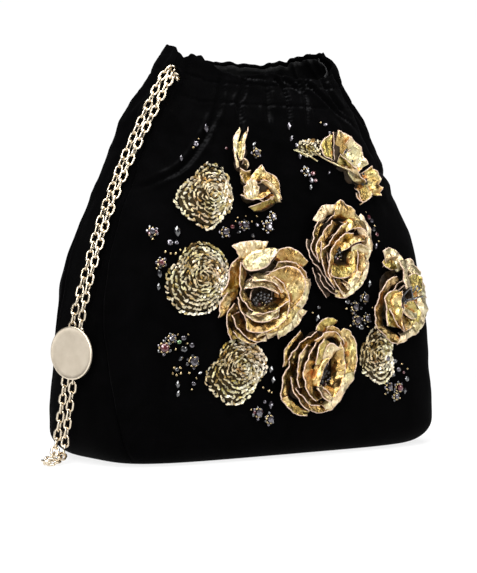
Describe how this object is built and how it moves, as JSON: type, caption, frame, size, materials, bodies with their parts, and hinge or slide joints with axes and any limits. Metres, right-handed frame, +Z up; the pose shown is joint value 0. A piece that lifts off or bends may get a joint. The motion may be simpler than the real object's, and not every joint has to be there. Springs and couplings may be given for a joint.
{
  "type": "drawstring pouch bag",
  "caption": "Velvet potli bag with a gathered neck, metal chain drawstring, round slider medallion and appliqued roses, blossoms and crystal clusters on the front.",
  "frame": {"origin": "middle of the flat base, on the surface the pouch stands on", "axes": "+Z up; front with the appliques towards -Y; the hanging chain at -X"},
  "size_m": [0.2825, 0.1376, 0.2559],
  "materials": {
    "black_velvet": "matt pile",
    "stiff_board": "matt",
    "satin_lining": "satin",
    "pale_gold_chain": "polished",
    "satin_gold": "satin",
    "gold_leather": "foiled",
    "gold_sequins": "glossy",
    "jet_crystal": "polished"
  },
  "bodies": {
    "pouch": {"front_panel": "black_velvet", "back_panel": "black_velvet", "left_gusset": "black_velvet", "right_gusset": "black_velvet", "base_panel": "black_velvet", "base_board": "stiff_board", "lining": "satin_lining", "chain_drop": "pale_gold_chain", "chain_in_casing": "pale_gold_chain", "rose_centre": "gold_leather", "rose_upper": "gold_leather", "rose_lower": "gold_leather", "rose_side": "gold_leather", "rose_bud": "gold_leather", "rose_tall_bud": "gold_leather", "rose_shoulder": "gold_leather", "blossom_upper": "gold_sequins", "blossom_middle": "gold_sequins", "blossom_lower": "gold_sequins", "blossom_side": "gold_sequins", "blossom_shoulder": "gold_sequins", "crystals_crease_top": "jet_crystal", "crystals_crease_low": "jet_crystal", "crystals_left_upper": "jet_crystal", "crystals_left_side": "jet_crystal", "crystals_left_drop": "jet_crystal", "crystals_under_bud": "jet_crystal", "crystals_pink": "jet_crystal", "crystals_left_lower": "jet_crystal", "crystals_left_foot": "jet_crystal", "crystals_left_tail": "jet_crystal", "crystals_foot": "jet_crystal", "crystals_centre": "jet_crystal", "crystals_right_foot": "jet_crystal", "crystals_right_upper": "jet_crystal", "crystals_neck": "jet_crystal"},
    "slider": {"slider_sleeve": "satin_gold", "medallion_post_left": "satin_gold", "medallion_post_right": "satin_gold", "medallion_disc": "satin_gold"}
  },
  "joints": [
    {"name": "slider_travel", "type": "slide", "parent": "pouch", "child": "slider", "axis": [0.0507, -0.1806, 0.9822], "range_m": [-0.04, 0.018]}
  ]
}
